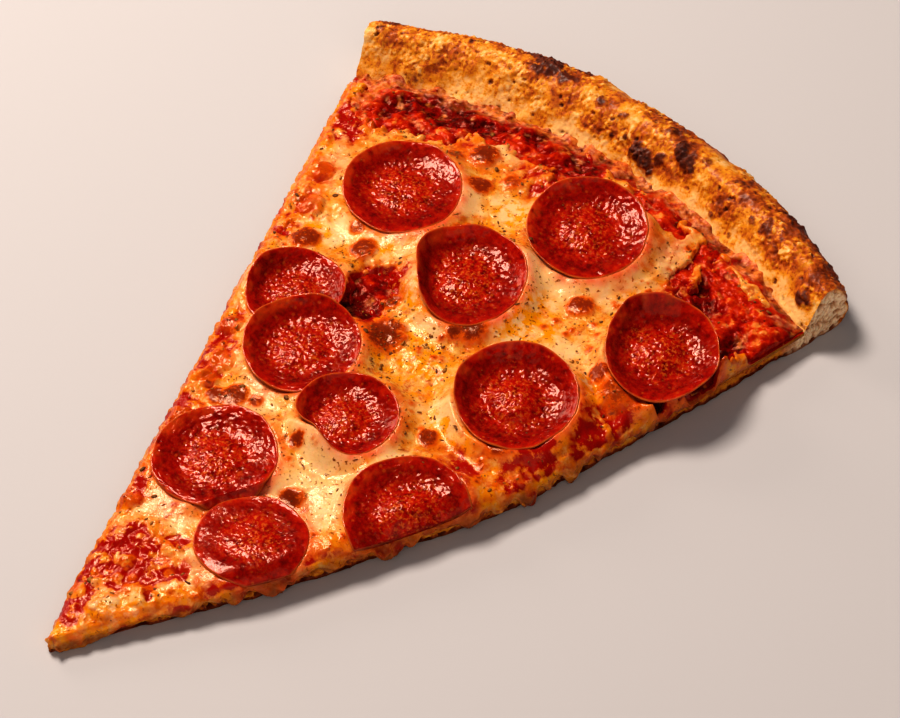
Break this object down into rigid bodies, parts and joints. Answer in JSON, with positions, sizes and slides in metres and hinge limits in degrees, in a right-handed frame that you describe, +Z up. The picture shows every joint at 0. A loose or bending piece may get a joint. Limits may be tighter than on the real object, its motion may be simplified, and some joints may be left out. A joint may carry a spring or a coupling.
{
  "type": "pepperoni pizza slice",
  "caption": "Thin-crust pizza slice with a raised browned rim, tomato sauce, melted cheese and cupped rounds of pepperoni, cut straight on both sides and lying flat.",
  "frame": {"origin": "middle of the slice's footprint, on the surface that its flat underside rests on", "axes": "+Y from the tip to the raised rim, +X to the right seen from above with the rim at the top, +Z up"},
  "size_m": [0.1851, 0.2539, 0.0208],
  "materials": {
    "baked_dough": "matte golden-brown baked dough, blistered and charred in spots, cream inside",
    "tomato_sauce": "glossy chunky deep red tomato sauce",
    "melted_cheese": "glossy pale yellow melted cheese with oil and browned blisters",
    "cured_sausage": "oily wrinkled dark red sausage with lighter flecks"
  },
  "bodies": {
    "root": {"crust": "baked_dough", "sauce": "tomato_sauce", "cheese": "melted_cheese", "pepperoni_01": "cured_sausage", "pepperoni_02": "cured_sausage", "pepperoni_03": "cured_sausage", "pepperoni_04": "cured_sausage", "pepperoni_05": "cured_sausage", "pepperoni_06": "cured_sausage", "pepperoni_07": "cured_sausage", "pepperoni_08": "cured_sausage", "pepperoni_09": "cured_sausage", "pepperoni_10": "cured_sausage", "pepperoni_11": "cured_sausage"}
  },
  "joints": []
}
